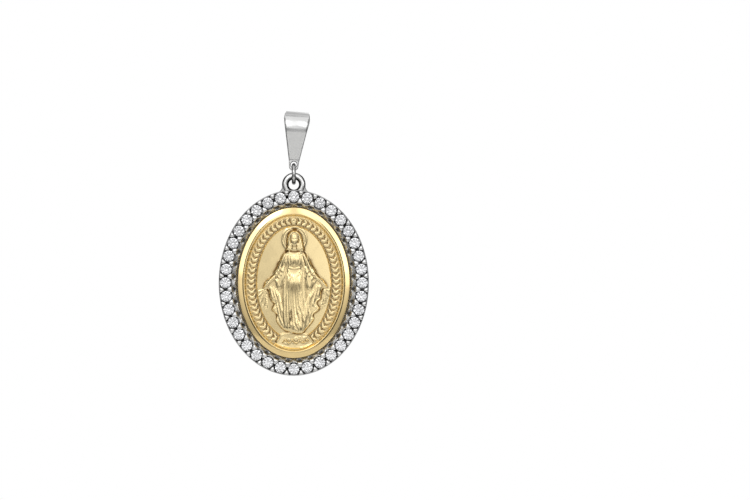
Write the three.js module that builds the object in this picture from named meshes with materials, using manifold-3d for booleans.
// Religious medal pendant: an oval gold medal struck on both sides, held in a white-metal halo
// of round stones, and hung from a tapered strap bail by a jump ring.
// Millimetres, +Z up, front towards -Y. The origin is the inside top of the bail.

import * as THREE from 'three';
import { ConvexGeometry } from 'three/addons/geometries/ConvexGeometry.js';
import { LoftGeometry } from 'three/addons/geometries/LoftGeometry.js';
import { mergeVertices } from 'three/addons/utils/BufferGeometryUtils.js';
import Module from 'manifold-3d';

const wasm = await Module();
wasm.setup();

// Driving dimensions, in millimetres and degrees

// Medal
const medalWidth = 13.5;
const medalHeight = 18.1;
const medalThickness = 1.15;
const medalEdgeBevel = 0.08;
const rimWidth = 0.8;
const fieldDepth = 0.3;
const grooveWidth = 0.22;
const grooveDepth = 0.08;
const bandWidth = 1.2;
const lineWidth = 0.14;
const lineHeight = 0.08;
const leafCount = 36;
const leafHeight = 0.12;
const leafFill = 0.86;
const reverseDepth = 0.16;
const reverseMargin = 0.14;

// Figure on the front, with its nimbus, rays and ground panel
const figureHeight = 12.25;
const figureWidth = 6.9;
const figureFoot = -6.2;
const reliefHeight = 0.5;
const robeFolds = 6;
const robeFoldDepth = 0.16;
const mantleFolds = 8;
const mantleFoldDepth = 0.14;
const nimbusRadius = 1.46;
const nimbusWidth = 0.16;
const nimbusHeight = 0.14;
const nimbusLevel = 0.93;
const rayCount = 5;
const rayLength = 3.4;
const rayWidth = 0.16;
const rayHeight = 0.1;
const rayFan = 0.55;
const rayInwardShare = 0.35;
const panelWidth = 4.1;
const panelHeight = 1.55;
const panelRelief = 0.16;

// Ornament on the reverse
const reverseRelief = 0.13;
const starCount = 12;
const starDiameter = 0.8;
const starRingWidth = 8.76;
const starRingHeight = 12.9;
const crossHeight = 5.0;
const crossSpan = 3.5;
const crossWidth = 0.36;
const barSpan = 5.4;
const knotWidth = 4.6;
const knotHeight = 3.9;
const strapWidth = 0.34;
const heartWidth = 1.75;
const heartSpacing = 2.7;
const heartDrop = 3.26;
const starRingDrop = 0.19;
const barLevel = 0.18;
const crossArmShare = 0.66;
const knotLevel = 0.54;

// Setting
const plateThickness = 0.7;
const plateBevel = 0.12;
const lipWidth = 0.26;
const medalClearance = 0.04;
const collarWidth = 0.16;
const collarHeight = 0.45;
const sideGap = 0.46;
const endGap = 0.3;
const galleryWidth = 0.35;
const wallWidth = 0.15;
const scallopDepth = 0.22;
const clawRadius = 0.27;
const clawOffset = 0.56;
const clawRise = 0.32;
const eyeletRadius = 1.42;
const eyeletHoleRadius = 0.62;
const eyeletRise = 0.67;
const eyeletChamfer = 0.18;
const eyeletFillet = 0.7;

// Stones
const stoneDiameter = 1.3;
const stoneGap = 0.32;
const girdleRise = 1.12;
const girdleThickness = 0.04;
const crownShare = 0.15;
const pavilionShare = 0.43;
const tableShare = 0.56;
const starFacetShare = 0.74;
const stoneClearance = 0.03;

// Jump ring
const ringWire = 0.5;
const ringDiameter = 2.64;

// Bail
const bailLength = 6.6;
const bailWidth = 3.15;
const bailTipWidth = 1.1;
const bailTipThickness = 0.56;
const strapThickness = 0.5;
const strapChamfer = 0.14;
const bailDepth = 3.8;
const bailTipMetal = 0.38;
const bailHoleRadius = 0.36;
const bailCountersink = 0.1;
const legGap = 0.04;
const tipLength = 1.45;
const bailLeanDegrees = 4;

// Play of the ring in its two holes
const tipPlay = 0.06;
const eyeletPlay = 0.16;

// Number of facets round each kind of outline
const ovalSides = 64;
const ringSides = 16;
const wireSides = 6;
const holeSides = 16;
const clawSides = 5;
const nimbusSides = 24;
const stoneSides = 16;

// How deep an applied relief is sunk into what carries it
const sink = 0.1;

// Corners nearer than this are one corner
const weldDistance = 1e-5;

// Booleans

// Joins equal corners and drops collapsed triangles, so that a geometry is one closed surface
function welded(geometry) {
	const bare = new THREE.BufferGeometry();
	bare.setAttribute('position', geometry.getAttribute('position'));
	bare.setIndex(geometry.index);
	const merged = mergeVertices(bare, weldDistance);
	const kept = [];
	const corner = merged.index.array;
	for (let i = 0; i < corner.length; i += 3) {
		const [a, b, c] = [corner[i], corner[i + 1], corner[i + 2]];
		if (a !== b && b !== c && c !== a) kept.push(a, b, c);
	}
	merged.setIndex(kept);
	return merged;
}

function solid(geometry) {
	const closed = welded(geometry);
	return new wasm.Manifold(new wasm.Mesh({
		numProp: 3,
		vertProperties: new Float32Array(closed.attributes.position.array),
		triVerts: new Uint32Array(closed.index.array),
	}));
}

function united(solids) {
	return solids.reduce((whole, next) => whole.add(next));
}

function geometryOf(manifold) {
	const mesh = manifold.getMesh();
	const geometry = new THREE.BufferGeometry();
	geometry.setAttribute('position', new THREE.Float32BufferAttribute(mesh.vertProperties, 3));
	geometry.setIndex(new THREE.Uint32BufferAttribute(mesh.triVerts, 1));
	geometry.computeVertexNormals();
	return geometry;
}

// Lofts

function lofted(sections) {
	return solid(new LoftGeometry(sections, { capStart: true, capEnd: true }));
}

// A loft whose last section meets its first, as in a hoop
function hooped(sections) {
	return solid(new LoftGeometry([...sections, sections[0]]));
}

function at(x, y, z) {
	return new THREE.Vector3(x, y, z);
}

function turned(geometry, angle, x, y, z) {
	geometry.rotateZ(angle);
	geometry.translate(x, y, z);
	return geometry;
}

function ovalSection(halfWidth, halfHeight, z, sides) {
	return Array.from({ length: sides }, (_, i) => {
		const angle = (i / sides) * 2 * Math.PI;
		return at(halfWidth * Math.cos(angle), halfHeight * Math.sin(angle), z);
	});
}

// A hoop along an oval. Each profile corner is [outward offset, height], listed clockwise.
function ovalHoop(halfWidth, halfHeight, sides, profileAt) {
	const sections = [];
	for (let i = 0; i < sides; i++) {
		const angle = (i / sides) * 2 * Math.PI;
		const point = at(halfWidth * Math.cos(angle), halfHeight * Math.sin(angle), 0);
		const outward = at(Math.cos(angle) / halfWidth, Math.sin(angle) / halfHeight, 0).normalize();
		sections.push(profileAt(i).map(([offset, z]) => {
			const corner = point.clone().addScaledVector(outward, offset);
			return corner.setZ(z);
		}));
	}
	return hooped(sections);
}

// A straight raised ridge with a rectangular foot and a narrower top
function ridge(from, to, startWidth, endWidth, base, height) {
	const along = to.clone().sub(from).normalize();
	const side = at(-along.y, along.x, 0);
	const section = (point, width) => [
		point.clone().addScaledVector(side, width / 2).setZ(base),
		point.clone().addScaledVector(side, width / 4).setZ(height),
		point.clone().addScaledVector(side, -width / 4).setZ(height),
		point.clone().addScaledVector(side, -width / 2).setZ(base),
	];
	return lofted([section(from, startWidth), section(to, endWidth)]);
}

// Levels in front of the middle of the back plate, shared by the setting, medal and stones
const plateFront = plateThickness / 2;
const medalBack = plateFront + medalClearance;
const medalFront = medalBack + medalThickness;
const fieldLevel = medalFront - fieldDepth;
const reverseLevel = medalBack + reverseDepth;
const girdleLevel = plateFront + girdleRise;

// The oval line through the middles of the stones
const stoneRadius = stoneDiameter / 2;
const medalHalfWidth = medalWidth / 2;
const medalHalfHeight = medalHeight / 2;
const lineHalfWidth = medalHalfWidth + sideGap + galleryWidth + stoneRadius;
const lineHalfHeight = medalHalfHeight + endGap + galleryWidth + stoneRadius;
const wallOffset = stoneRadius + wallWidth;
const haloHalfHeight = lineHalfHeight + wallOffset;
const stoneLine = new THREE.EllipseCurve(0, 0, lineHalfWidth, lineHalfHeight, Math.PI / 2, 2.5 * Math.PI);
stoneLine.arcLengthDivisions = 720;
const stoneCount = 2 * Math.floor(stoneLine.getLength() / (stoneDiameter + stoneGap) / 2);

// Place and outward direction on the stone line, counted in stones from the top
function onStoneLine(stones, offset) {
	const share = (((stones % stoneCount) + stoneCount) % stoneCount) / stoneCount;
	const point = stoneLine.getPointAt(share);
	const along = stoneLine.getTangentAt(share);
	return { x: point.x + along.y * offset, y: point.y - along.x * offset };
}

// Round brilliant: table, star, kite and upper girdle facets over a sixteen-sided pavilion

const crownHeight = crownShare * stoneDiameter;
const pavilionDepth = pavilionShare * stoneDiameter;

function stoneCorner(radius, z, eighths) {
	const angle = (eighths / 8) * 2 * Math.PI;
	return at(radius * Math.cos(angle), radius * Math.sin(angle), z);
}

function brilliant() {
	const tableRadius = tableShare * stoneRadius;
	const starRadius = starFacetShare * stoneRadius;
	const crownSlope = crownHeight / (stoneRadius - tableRadius);
	const starDrop = (starRadius * Math.cos(Math.PI / 8) - tableRadius) * crownSlope;
	const corners = [at(0, 0, -girdleThickness - pavilionDepth)];
	for (let i = 0; i < 8; i++) {
		corners.push(stoneCorner(tableRadius, crownHeight, i));
		corners.push(stoneCorner(starRadius, crownHeight - starDrop, i + 0.5));
	}
	for (let i = 0; i < stoneSides; i++) {
		corners.push(stoneCorner(stoneRadius, 0, (8 * i) / stoneSides));
		corners.push(stoneCorner(stoneRadius, -girdleThickness, (8 * i) / stoneSides));
	}
	return solid(new ConvexGeometry(corners));
}

// Setting

// Height of a rail that the stones' pavilions rest on, at a distance from their middles
const pavilionSlope = pavilionDepth / stoneRadius;
const railOffset = stoneRadius - galleryWidth / 2;
const railDrop = (stoneRadius - railOffset) * pavilionSlope + girdleThickness + stoneClearance;
const railLevel = girdleLevel - railDrop;

function plateSolid() {
	const outer = wallOffset;
	const windowOffset = -(lineHalfWidth - medalHalfWidth) - lipWidth;
	const profile = [
		[windowOffset, -plateFront + plateBevel],
		[windowOffset, plateFront],
		[outer, plateFront],
		[outer, -plateFront + plateBevel],
		[outer - plateBevel, -plateFront],
		[windowOffset - plateBevel, -plateFront],
	];
	const sections = [];
	for (let i = 0; i < ovalSides; i++) {
		const angle = (i / ovalSides) * 2 * Math.PI;
		const direction = at(Math.cos(angle), Math.sin(angle), 0);
		sections.push(profile.map(([offset, z]) => {
			const insideWindow = offset < 0;
			const inset = offset - windowOffset;
			const halfWidth = insideWindow ? medalHalfWidth - lipWidth + inset : lineHalfWidth + offset;
			const halfHeight = insideWindow ? medalHalfHeight - lipWidth + inset : lineHalfHeight + offset;
			return at(direction.x * halfWidth, direction.y * halfHeight, z);
		}));
	}
	return hooped(sections);
}

// A low wall that stops the medal sliding sideways
function collarSolid() {
	const top = plateFront + collarHeight;
	const profile = [[medalClearance, plateFront - sink], [medalClearance, top]];
	profile.push([medalClearance + collarWidth, top], [medalClearance + collarWidth, plateFront - sink]);
	return ovalHoop(medalHalfWidth, medalHalfHeight, ovalSides, () => profile);
}

// The gallery rail on the medal's side, scalloped round the stones, and the plain outer wall
function railSolid(side) {
	const sections = [];
	for (let i = 0; i < 2 * stoneCount; i++) {
		const atStone = i % 2 === 0;
		const innerFar = railOffset + galleryWidth - (atStone ? 0 : scallopDepth);
		const far = side < 0 ? innerFar : wallOffset;
		const [near, distant] = [side * railOffset, side * far].sort((a, b) => a - b);
		const corners = [
			[near, plateFront - sink],
			[near, railLevel],
			[distant, railLevel],
			[distant, plateFront - sink],
		];
		sections.push(corners.map(([offset, z]) => {
			const place = onStoneLine(i / 2, offset);
			return at(place.x, place.y, z);
		}));
	}
	return hooped(sections);
}

function clawSolid(stones, side) {
	const place = onStoneLine(stones, side * clawOffset);
	const shoulder = girdleLevel + clawRise / 2;
	const angle = Math.atan2(place.y, place.x);
	return lofted([
		clawSection(place, clawRadius, plateFront - sink, angle),
		clawSection(place, clawRadius, shoulder, angle),
		clawSection(place, clawRadius / 2, girdleLevel + clawRise, angle),
	]);
}

function clawSection(place, radius, z, angle) {
	return Array.from({ length: clawSides }, (_, i) => {
		const turn = angle + (i / clawSides) * 2 * Math.PI;
		return at(place.x + radius * Math.cos(turn), place.y + radius * Math.sin(turn), z);
	});
}

// The eyelet stands on the top of the halo, in the plane of the back plate
const eyeletHeight = haloHalfHeight + eyeletRise;

function eyeletSolid() {
	const disc = lofted([
		ovalSection(eyeletRadius - eyeletChamfer, eyeletRadius - eyeletChamfer, -plateFront, 2 * holeSides),
		ovalSection(eyeletRadius, eyeletRadius, -plateFront + eyeletChamfer, 2 * holeSides),
		ovalSection(eyeletRadius, eyeletRadius, plateFront - eyeletChamfer, 2 * holeSides),
		ovalSection(eyeletRadius - eyeletChamfer, eyeletRadius - eyeletChamfer, plateFront, 2 * holeSides),
	]).translate(0, eyeletHeight, 0);
	const footWidth = eyeletRadius + eyeletFillet;
	const footLevel = haloHalfHeight - 2 * wallOffset;
	const shoulderLevel = haloHalfHeight + eyeletRise / 2;
	const neck = new THREE.Shape();
	neck.moveTo(-footWidth, footLevel);
	neck.lineTo(footWidth, footLevel);
	neck.quadraticCurveTo(eyeletRadius, haloHalfHeight - sink, eyeletRadius - sink, shoulderLevel);
	neck.lineTo(sink - eyeletRadius, shoulderLevel);
	neck.quadraticCurveTo(-eyeletRadius, haloHalfHeight - sink, -footWidth, footLevel);
	const web = new THREE.ExtrudeGeometry(neck, {
		depth: plateThickness - 2 * eyeletChamfer,
		bevelEnabled: false,
		curveSegments: 4,
	});
	web.translate(0, 0, -plateFront + eyeletChamfer);
	return disc.add(solid(web));
}

// An hourglass cutter: a round hole with a countersink on both faces
function holeCutter(radius, countersink, halfThickness) {
	const mouth = radius + 2 * countersink;
	return lofted([
		ovalSection(mouth, mouth, -halfThickness - countersink, holeSides),
		ovalSection(radius, radius, -halfThickness + countersink, holeSides),
		ovalSection(radius, radius, halfThickness - countersink, holeSides),
		ovalSection(mouth, mouth, halfThickness + countersink, holeSides),
	]);
}

function settingSolid() {
	const parts = [plateSolid(), collarSolid(), railSolid(-1), railSolid(1), eyeletSolid()];
	for (let i = 0; i < stoneCount; i++) {
		parts.push(clawSolid(i + 0.5, -1), clawSolid(i + 0.5, 1));
	}
	const hole = holeCutter(eyeletHoleRadius, eyeletChamfer / 2, plateFront);
	return united(parts).subtract(hole.translate(0, eyeletHeight, 0));
}

// Medal

// A disc of the medal's outline. Each row: inset from the edge, level.
function medalDisc(rows) {
	return lofted(rows.map(([inset, level]) => (
		ovalSection(medalHalfWidth - inset, medalHalfHeight - inset, level, ovalSides)
	)));
}

// Blank with both rims, the groove inside the front rim and the fine line round the field
function blankSolid() {
	const reverseRim = lipWidth + reverseMargin;
	const grooveLevel = fieldLevel - grooveDepth;
	const bandInset = rimWidth + grooveWidth;
	const lineInset = bandInset + bandWidth;
	const block = medalDisc([
		[medalEdgeBevel, medalBack],
		[0, medalBack + medalEdgeBevel],
		[0, medalFront - medalEdgeBevel],
		[medalEdgeBevel, medalFront],
	]);
	const frontRecess = medalDisc([
		[rimWidth, grooveLevel],
		[rimWidth - medalEdgeBevel, medalFront],
		[rimWidth - medalEdgeBevel, medalFront + sink],
	]);
	const reverseRecess = medalDisc([
		[reverseRim, medalBack - sink],
		[reverseRim, medalBack],
		[reverseRim + reverseDepth, reverseLevel],
	]);
	const field = medalDisc([
		[bandInset, grooveLevel - sink],
		[bandInset, fieldLevel],
	]);
	const lineProfile = [
		[-lineWidth, fieldLevel - sink],
		[-lineWidth / 2, fieldLevel + lineHeight],
		[0, fieldLevel - sink],
	];
	const line = ovalHoop(medalHalfWidth - lineInset, medalHalfHeight - lineInset, ovalSides / 2,
		() => lineProfile);
	return block.subtract(frontRecess).subtract(reverseRecess).add(field).add(line);
}

// A wreath of pointed leaves round the band
function wreathSolids() {
	const inset = rimWidth + grooveWidth + bandWidth / 2;
	const middle = new THREE.EllipseCurve(0, 0, medalHalfWidth - inset, medalHalfHeight - inset);
	const halfLength = (leafFill * middle.getLength()) / leafCount / 2;
	const halfWidth = (leafFill * bandWidth) / 2;
	const foot = 1 + sink / leafHeight;
	const leaves = [];
	for (let i = 0; i < leafCount; i++) {
		const point = middle.getPointAt(i / leafCount);
		const along = middle.getTangentAt(i / leafCount);
		const leaf = new THREE.ConeGeometry(1, leafHeight + sink, 4);
		leaf.rotateX(Math.PI / 2);
		leaf.scale(halfWidth * foot, halfLength * foot, 1);
		const level = fieldLevel + (leafHeight - sink) / 2;
		leaves.push(solid(turned(leaf, Math.atan2(along.y, along.x) - Math.PI / 2, point.x, point.y, level)));
	}
	return leaves;
}

function figureLevel(share) {
	return figureFoot + share * figureHeight;
}

// One level section of drapery: a crowned front with folds over a flat foot
function drapery(row, folds, foldDepth) {
	const [along, left, right, rise] = row;
	const steps = 2 * folds;
	const y = figureLevel(along);
	const points = [];
	for (let i = 0; i <= steps; i++) {
		const share = i / steps;
		const crown = Math.sqrt(Math.max(0.12, 1 - (2 * share - 1) ** 2));
		const fold = i % 2 === 0 ? 1 : 1 - foldDepth;
		const x = (left + (right - left) * share) * figureWidth;
		points.push(at(x, y, fieldLevel + rise * reliefHeight * crown * fold));
	}
	points.push(at(right * figureWidth, y, fieldLevel - sink));
	points.push(at(left * figureWidth, y, fieldLevel - sink));
	return points;
}

// Robe, from hem to neck. Columns: level as a share of the figure's height, left and right
// edges as shares of its width, rise as a share of the relief's height.
const robeRows = [
	[0.0, -0.19, 0.205, 0.8],
	[0.1, -0.185, 0.195, 0.85],
	[0.34, -0.165, 0.175, 0.9],
	[0.55, -0.135, 0.14, 0.95],
	[0.645, -0.1, 0.105, 0.85],
	[0.735, -0.14, 0.145, 1.0],
	[0.8, -0.165, 0.18, 0.9],
	[0.845, -0.07, 0.075, 0.7],
];

// Mantle, spread from the shoulders to the hands. The same columns.
const mantleRows = [
	[0.01, -0.19, 0.19, 0.3],
	[0.06, -0.225, 0.24, 0.35],
	[0.14, -0.305, 0.32, 0.4],
	[0.24, -0.35, 0.375, 0.45],
	[0.335, -0.41, 0.42, 0.5],
	[0.43, -0.475, 0.49, 0.5],
	[0.51, -0.49, 0.515, 0.5],
	[0.63, -0.31, 0.355, 0.6],
	[0.8, -0.175, 0.2, 0.7],
	[0.84, -0.09, 0.1, 0.5],
];

// Rounded forms of the figure: sizes as shares of its width and height, rise as a share of
// the relief's height, level of the middle as a share of the figure's height
const veil = { halfWidth: 0.118, halfHeight: 0.085, rise: 0.7, level: 0.905 };
const head = { halfWidth: 0.07, halfHeight: 0.06, rise: 1.0, level: 0.92 };
const hand = { halfWidth: 0.05, halfHeight: 0.035, rise: 0.7, level: 0.465 };

// Sleeve, from shoulder by elbow to wrist. Columns: distance out and width as shares of the
// figure's width, level as a share of its height.
const sleeveRows = [
	[0.13, 0.13, 0.78],
	[0.2, 0.14, 0.66],
	[0.485, 0.08, 0.465],
];
const sleeveRise = 0.75;
const handReach = sleeveRows[2][0];

function rounded(form, x) {
	const ball = new THREE.SphereGeometry(1, 12, 8);
	ball.scale(form.halfWidth * figureWidth, form.halfHeight * figureHeight, form.rise * reliefHeight);
	ball.translate(x * figureWidth, figureLevel(form.level), fieldLevel);
	return solid(ball);
}

function sleeveSolids(side) {
	const joints = sleeveRows.map(([out, width, level]) => ({
		place: at(side * out * figureWidth, figureLevel(level), 0),
		width: width * figureWidth,
	}));
	const top = fieldLevel + sleeveRise * reliefHeight;
	return joints.slice(1).map((end, i) => (
		ridge(joints[i].place, end.place, joints[i].width, end.width, fieldLevel - sink, top)
	));
}

function figureSolids() {
	return [
		lofted(robeRows.map((row) => drapery(row, robeFolds, robeFoldDepth))),
		lofted(mantleRows.map((row) => drapery(row, mantleFolds, mantleFoldDepth))),
		rounded(veil, 0),
		rounded(head, 0),
		...sleeveSolids(-1),
		...sleeveSolids(1),
		rounded(hand, -handReach),
		rounded(hand, handReach),
	];
}

function nimbusSolid() {
	const profile = [
		[-nimbusWidth, -sink],
		[-nimbusWidth, nimbusHeight / 2],
		[0, nimbusHeight],
		[0, -sink],
	];
	const hoop = ovalHoop(nimbusRadius, nimbusRadius, nimbusSides, () => profile);
	return hoop.translate(0, figureLevel(nimbusLevel), fieldLevel);
}

// Rays fan down and outwards from both hands
function raySolids() {
	const rays = [];
	for (const side of [-1, 1]) {
		const palm = at(side * handReach * figureWidth, figureLevel(hand.level - hand.halfHeight / 2), 0);
		for (let i = 0; i < rayCount; i++) {
			const share = i / (rayCount - 1);
			const angle = -Math.PI / 2 + side * (share - rayInwardShare) * rayFan;
			const reach = rayLength * (1 - share / 2);
			const tip = at(palm.x + reach * Math.cos(angle), palm.y + reach * Math.sin(angle), 0);
			rays.push(ridge(palm, tip, rayWidth, rayWidth / 2, fieldLevel - sink, fieldLevel + rayHeight));
		}
	}
	return rays;
}

// Ground panel with an arched top under the feet, and a serpent lying on it
function groundSolids() {
	const halfWidth = panelWidth / 2;
	const bottom = figureFoot - panelHeight;
	const outline = new THREE.Shape();
	outline.moveTo(-halfWidth, bottom + panelHeight / 4);
	outline.quadraticCurveTo(0, bottom - panelHeight / 4, halfWidth, bottom + panelHeight / 4);
	outline.lineTo(halfWidth, figureFoot - panelHeight / 4);
	outline.quadraticCurveTo(0, figureFoot + panelHeight / 2, -halfWidth, figureFoot - panelHeight / 4);
	const slab = new THREE.ExtrudeGeometry(outline, {
		depth: sink + panelRelief / 2,
		bevelEnabled: false,
		curveSegments: 6,
	});
	slab.translate(0, 0, fieldLevel - sink);
	const solids = [solid(slab)];
	const bends = 6;
	const spine = (share) => at(
		(share - 0.5) * 0.8 * panelWidth,
		figureFoot - 0.42 * panelHeight + 0.12 * panelHeight * Math.sin(share * 3 * Math.PI),
		0,
	);
	for (let i = 0; i < bends; i++) {
		const width = 0.22 * panelHeight;
		const level = fieldLevel + panelRelief;
		solids.push(ridge(spine(i / bends), spine((i + 1.1) / bends), width, width, fieldLevel - sink, level));
	}
	return solids;
}

// Reverse ornament, drawn as seen from behind on a field at level zero, facing +Z

function starSection(radius, z) {
	return Array.from({ length: 12 }, (_, i) => {
		const angle = Math.PI / 2 + (i / 12) * 2 * Math.PI;
		const reach = i % 2 === 0 ? radius : radius * 0.5;
		return at(reach * Math.cos(angle), reach * Math.sin(angle), z);
	});
}

function starSolids() {
	const ring = new THREE.EllipseCurve(0, -starRingDrop, starRingWidth / 2, starRingHeight / 2);
	const stars = [];
	for (let i = 0; i < starCount; i++) {
		const place = ring.getPointAt((i / starCount + 0.25) % 1);
		const radius = starDiameter / 2;
		const star = lofted([starSection(radius, -sink), starSection(radius / 2, reverseRelief)]);
		stars.push(star.translate(place.x, place.y, 0));
	}
	return stars;
}

function crossSolids() {
	const bar = at(barSpan / 2, barLevel, 0);
	const top = bar.y + crossHeight + crossWidth / 2;
	const arms = bar.y + crossArmShare * crossHeight;
	const flare = 1.7 * crossWidth;
	const beam = (from, to, start, end) => ridge(from, to, start, end, -sink, reverseRelief);
	return [
		beam(at(0, bar.y, 0), at(0, top - crossWidth, 0), 2 * crossWidth, crossWidth * 1.6),
		beam(at(0, top - 1.6 * crossWidth, 0), at(0, top, 0), crossWidth, flare),
		beam(at(-crossSpan / 2, arms, 0), at(0, arms, 0), flare, crossWidth),
		beam(at(0, arms, 0), at(crossSpan / 2, arms, 0), crossWidth, flare),
		beam(at(-bar.x, bar.y, 0), bar, crossWidth, crossWidth),
	];
}

// Two interlaced lozenges of flat strap
function knotSolids() {
	const halfHeight = knotHeight / 2;
	const halfWidth = knotWidth / 3;
	return [-1, 1].map((side) => {
		const profile = [
			[-strapWidth, -sink],
			[-strapWidth, reverseRelief],
			[0, reverseRelief],
			[0, -sink],
		];
		const lozenge = ovalHoop(halfWidth, halfHeight, 4, () => profile);
		return lozenge.translate((side * knotWidth) / 6, knotLevel, 0);
	});
}

function heartSolid(x) {
	const half = heartWidth / 2;
	const heart = new THREE.Shape();
	heart.moveTo(0, -half);
	heart.bezierCurveTo(half * 0.6, -half * 0.6, half * 1.3, half * 0.1, half * 0.75, half * 0.65);
	heart.bezierCurveTo(half * 0.45, half * 0.9, half * 0.1, half * 0.75, 0, half * 0.4);
	heart.bezierCurveTo(-half * 0.1, half * 0.75, -half * 0.45, half * 0.9, -half * 0.75, half * 0.65);
	heart.bezierCurveTo(-half * 1.3, half * 0.1, -half * 0.6, -half * 0.6, 0, -half);
	const slab = new THREE.ExtrudeGeometry(heart, {
		depth: reverseRelief + sink,
		bevelEnabled: false,
		curveSegments: 4,
	});
	slab.translate(x, -heartDrop, -sink);
	const flame = ridge(at(x, -heartDrop + 0.5 * half, 0), at(x, -heartDrop + 1.5 * half, 0),
		half, half * 0.2, -sink, reverseRelief * 0.8);
	return solid(slab).add(flame);
}

function medalSolid() {
	const front = [
		...wreathSolids(),
		...figureSolids(),
		nimbusSolid(),
		...raySolids(),
		...groundSolids(),
	];
	const reverse = united([
		...starSolids(),
		...crossSolids(),
		...knotSolids(),
		heartSolid(-heartSpacing / 2),
		heartSolid(heartSpacing / 2),
	]);
	const behind = reverse.rotate(0, 180, 0).translate(0, 0, reverseLevel);
	return united([blankSolid(), ...front]).add(behind);
}

// Jump ring, standing in the plane of the bail's fold

const wireRadius = ringWire / 2;
const ringRadius = (ringDiameter - ringWire) / 2;

function jumpRingSolid() {
	const sections = [];
	for (let i = 0; i < ringSides; i++) {
		const angle = ((i + 0.5) / ringSides) * 2 * Math.PI;
		const radial = at(0, Math.cos(angle), Math.sin(angle));
		const centre = radial.clone().multiplyScalar(ringRadius);
		sections.push(Array.from({ length: wireSides }, (_, j) => {
			const turn = (j / wireSides) * 2 * Math.PI;
			const corner = centre.clone().addScaledVector(radial, wireRadius * Math.cos(turn));
			return corner.add(at(-wireRadius * Math.sin(turn), 0, 0));
		}));
	}
	return hooped(sections);
}

// Bail, standing upright with the inside top of its loop at the origin

const loopRadius = bailDepth / 2 - strapThickness / 2;
const loopCentre = -(bailDepth / 2 - strapThickness);
const holeLevel = -bailLength + bailTipMetal + bailHoleRadius;

// Width of the strap at a level: full over the fold, then an even taper to the pierced tip
function strapWidthAt(z) {
	const taperStart = -0.07 * bailLength;
	const share = THREE.MathUtils.clamp((taperStart - z) / (taperStart - holeLevel), 0, 1);
	return THREE.MathUtils.lerp(bailWidth, bailTipWidth, share);
}

// A strap section: flat inside, chamfered outside, across the outward direction at an angle
function strapSection(y, z, angle) {
	const half = strapWidthAt(z) / 2;
	const outer = strapThickness / 2;
	const corners = [
		[-half, -outer],
		[half, -outer],
		[half, outer - strapChamfer],
		[half - strapChamfer, outer],
		[strapChamfer - half, outer],
		[-half, outer - strapChamfer],
	];
	return corners.map(([x, out]) => at(x, y + out * Math.cos(angle), z + out * Math.sin(angle)));
}

function bailSolid() {
	const footOffset = (strapThickness + legGap) / 2;
	const footLevel = -bailLength + tipLength;
	const drop = loopCentre - footLevel;
	const legTurn = Math.atan2(drop, footOffset) - Math.acos(loopRadius / Math.hypot(drop, footOffset));
	const arcSteps = 14;
	const sections = [strapSection(footOffset, footLevel, -legTurn)];
	for (let i = 0; i <= arcSteps; i++) {
		const angle = (i / arcSteps) * (Math.PI + 2 * legTurn) - legTurn;
		const y = loopRadius * Math.cos(angle);
		const z = loopCentre + loopRadius * Math.sin(angle);
		sections.push(strapSection(y, z, angle));
	}
	sections.push(strapSection(-footOffset, footLevel, Math.PI + legTurn));
	const half = bailTipThickness / 2;
	const shoulderLevel = holeLevel + 2 * bailHoleRadius;
	const joinLevel = footLevel + strapThickness;
	const tip = lofted([
		tipSection(-bailLength, 0.45 * bailTipWidth, half),
		tipSection(-bailLength + 0.4 * bailTipMetal, 0.8 * bailTipWidth, half),
		tipSection(-bailLength + bailTipMetal, bailTipWidth, half),
		tipSection(shoulderLevel, strapWidthAt(shoulderLevel), half),
		tipSection(footLevel, strapWidthAt(footLevel), strapThickness),
		tipSection(joinLevel, 0.9 * strapWidthAt(joinLevel), half),
	]);
	const hole = holeCutter(bailHoleRadius, bailCountersink, half);
	return lofted(sections).add(tip).subtract(hole.rotate(90, 0, 0).translate(0, 0, holeLevel));
}

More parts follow.
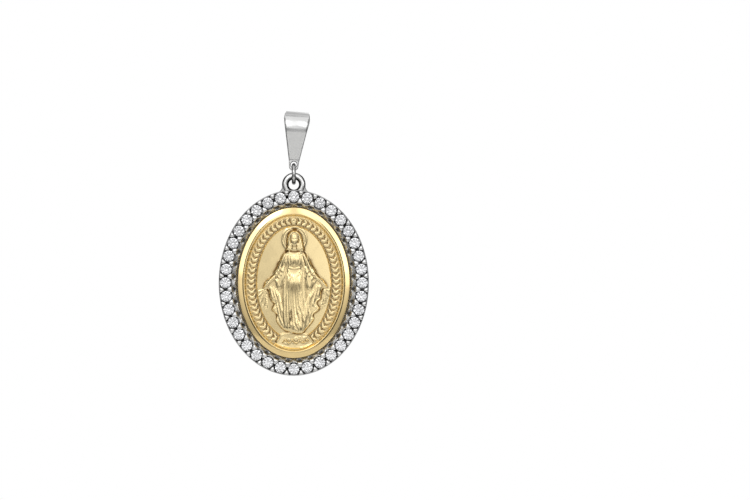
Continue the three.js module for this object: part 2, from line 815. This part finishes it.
function tipSection(z, width, halfThickness) {
	const x = width / 2;
	const chamfer = Math.min(strapChamfer, halfThickness / 2);
	const y = halfThickness;
	return [
		at(x, chamfer - y, z),
		at(x, y - chamfer, z),
		at(x - chamfer, y, z),
		at(chamfer - x, y, z),
		at(-x, y - chamfer, z),
		at(-x, chamfer - y, z),
		at(chamfer - x, -y, z),
		at(x - chamfer, -y, z),
	];
}

// Finishes

const gold = new THREE.MeshStandardMaterial({ color: 0xd9b777, roughness: 0.28, metalness: 1 });
const whiteMetal = new THREE.MeshStandardMaterial({ color: 0xd2d2cf, roughness: 0.18, metalness: 1 });
const ringMetal = whiteMetal.clone();
const bailMetal = whiteMetal.clone();

function piece(name, manifold, material) {
	const mesh = new THREE.Mesh(geometryOf(manifold), material);
	mesh.name = name;
	return mesh;
}

// Assembly: the bail leans about the chain, the ring and the medal hang straight below its tip

const pendant = new THREE.Group();

const bail = piece('bail', bailSolid(), bailMetal);
bail.rotation.y = THREE.MathUtils.degToRad(bailLeanDegrees);
pendant.add(bail);

const lean = THREE.MathUtils.degToRad(bailLeanDegrees);
const hangX = holeLevel * Math.sin(lean);
const hangZ = holeLevel * Math.cos(lean);
const topWireLevel = hangZ - bailHoleRadius + wireRadius + tipPlay;
const ringLevel = topWireLevel - ringRadius;
const bottomWireTop = ringLevel - ringRadius + wireRadius;
const eyeletLevel = bottomWireTop + eyeletPlay - eyeletHoleRadius;

const jumpRing = piece('jump_ring', jumpRingSolid(), ringMetal);
jumpRing.position.set(hangX, 0, ringLevel);
pendant.add(jumpRing);

// In the hanging group X is to the right, Y up and Z towards the viewer
const hanging = new THREE.Group();
hanging.rotation.x = Math.PI / 2;
hanging.position.set(hangX, 0, eyeletLevel - eyeletHeight);
pendant.add(hanging);

hanging.add(piece('setting', settingSolid(), whiteMetal));
hanging.add(piece('medal', medalSolid(), gold));

const stoneBlank = brilliant();
for (let i = 0; i < stoneCount; i++) {
	const finish = new THREE.MeshStandardMaterial({ color: 0xf4f6f8, roughness: 0.05, metalness: 0 });
	const stone = piece(`stone_${String(i + 1).padStart(2, '0')}`, stoneBlank, finish);
	const place = onStoneLine(i, 0);
	stone.position.set(place.x, place.y, girdleLevel);
	stone.rotation.z = Math.atan2(place.y, place.x);
	hanging.add(stone);
}

export default pendant;
